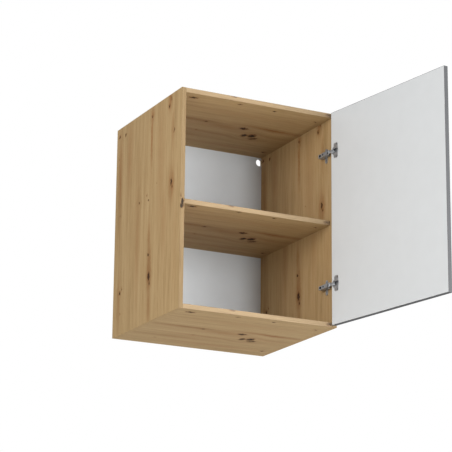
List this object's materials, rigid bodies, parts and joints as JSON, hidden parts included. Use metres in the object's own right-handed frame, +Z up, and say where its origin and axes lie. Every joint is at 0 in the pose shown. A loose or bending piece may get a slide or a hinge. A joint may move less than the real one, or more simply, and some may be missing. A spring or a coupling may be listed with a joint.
{
  "type": "hanging wall cabinet",
  "caption": "Deep open-grain oak decor wall cabinet with a fixed shelf and a plain flat door on concealed cup hinges, hung from two hook plates at the rear.",
  "frame": {"origin": "on the wall, midway between the two points where the wall hooks carry the cabinet", "axes": "+Z up, +X to the right as seen from the front, front towards -Y, wall towards +Y"},
  "size_m": [0.6739, 1.1391, 0.768],
  "materials": {
    "oak_board": "knotty oak decor melamine on particle board, fine matt texture",
    "oak_edge_band": "oak decor edge band, matt",
    "back_board": "thin hardboard, white inside and raw brown behind",
    "door_board": "melamine board, white inside and plain mid-grey outside, matt",
    "door_edge_band": "grey edge band, matt",
    "nickel_steel": "nickel-plated pressed steel, satin",
    "pin_steel": "plated steel, satin",
    "spring_steel": "blued spring steel",
    "dark_steel": "black-oxide steel",
    "zinc_plated_steel": "bright zinc-plated steel",
    "cast_zinc": "die-cast zinc, dull",
    "beech": "fluted beech, raw"
  },
  "bodies": {
    "carcass": {"side_left": "oak_board", "side_right": "oak_board", "top_panel": "oak_board", "bottom_panel": "oak_board", "shelf": "oak_board", "back_panel": "back_board", "side_left_edge_bands": "oak_edge_band", "side_right_edge_bands": "oak_edge_band", "top_edge_band": "oak_edge_band", "bottom_edge_band": "oak_edge_band", "shelf_edge_band": "oak_edge_band", "top_cam_locks": "cast_zinc", "bottom_cam_locks": "cast_zinc", "shelf_cam_locks": "cast_zinc", "top_cam_bolts": "zinc_plated_steel", "bottom_cam_bolts": "zinc_plated_steel", "shelf_cam_bolts": "zinc_plated_steel", "top_dowels": "beech", "bottom_dowels": "beech", "shelf_dowels": "beech", "hanger_plate_left": "zinc_plated_steel", "hanger_plate_right": "zinc_plated_steel", "hanger_screws_left": "dark_steel", "hanger_screws_right": "dark_steel", "upper_mounting_plate": "nickel_steel", "lower_mounting_plate": "nickel_steel", "upper_plate_screws": "pin_steel", "lower_plate_screws": "pin_steel", "upper_arm": "nickel_steel", "lower_arm": "nickel_steel", "upper_arm_pins": "pin_steel", "lower_arm_pins": "pin_steel", "upper_fixing_screw": "dark_steel", "lower_fixing_screw": "dark_steel", "upper_adjusting_screw": "dark_steel", "lower_adjusting_screw": "dark_steel", "upper_hinge_spring": "spring_steel", "lower_hinge_spring": "spring_steel"},
    "upper_outer_link": {"upper_outer_link": "nickel_steel"},
    "upper_inner_link": {"upper_inner_link": "nickel_steel"},
    "lower_outer_link": {"lower_outer_link": "nickel_steel"},
    "lower_inner_link": {"lower_inner_link": "nickel_steel"},
    "door": {"door_panel": "door_board", "door_edge_bands": "door_edge_band", "upper_hinge_cup": "nickel_steel", "upper_cup_pins": "pin_steel", "upper_cup_screws": "pin_steel", "lower_hinge_cup": "nickel_steel", "lower_cup_pins": "pin_steel", "lower_cup_screws": "pin_steel"}
  },
  "joints": [
    {"name": "upper_outer_link_pivot", "type": "hinge", "parent": "carcass", "child": "upper_outer_link", "pos_m": [0.2675, -0.5385, -0.128], "axis": [0, 0, 1], "range_deg": [-3.9, 55.1]},
    {"name": "door_hinge", "type": "hinge", "parent": "upper_outer_link", "child": "door", "pos_m": [0.27737, -0.55783, -0.128], "axis": [0, 0, 1], "range_deg": [-153.2, 10.6]},
    {"name": "upper_inner_link_pivot", "type": "hinge", "parent": "carcass", "child": "upper_inner_link", "pos_m": [0.266, -0.545, -0.128], "axis": [0, 0, 1], "range_deg": [-3.9, 55.1]},
    {"name": "lower_outer_link_pivot", "type": "hinge", "parent": "carcass", "child": "lower_outer_link", "pos_m": [0.2675, -0.5385, -0.604], "axis": [0, 0, 1], "range_deg": [-3.9, 55.1]},
    {"name": "lower_inner_link_pivot", "type": "hinge", "parent": "carcass", "child": "lower_inner_link", "pos_m": [0.266, -0.545, -0.604], "axis": [0, 0, 1], "range_deg": [-3.9, 55.1]}
  ],
  "couplings": [
    {"joint": "upper_outer_link_pivot", "follows": "door_hinge", "ratio": -0.35901},
    {"joint": "upper_inner_link_pivot", "follows": "door_hinge", "ratio": -0.35901},
    {"joint": "lower_outer_link_pivot", "follows": "door_hinge", "ratio": -0.35901},
    {"joint": "lower_inner_link_pivot", "follows": "door_hinge", "ratio": -0.35901}
  ]
}
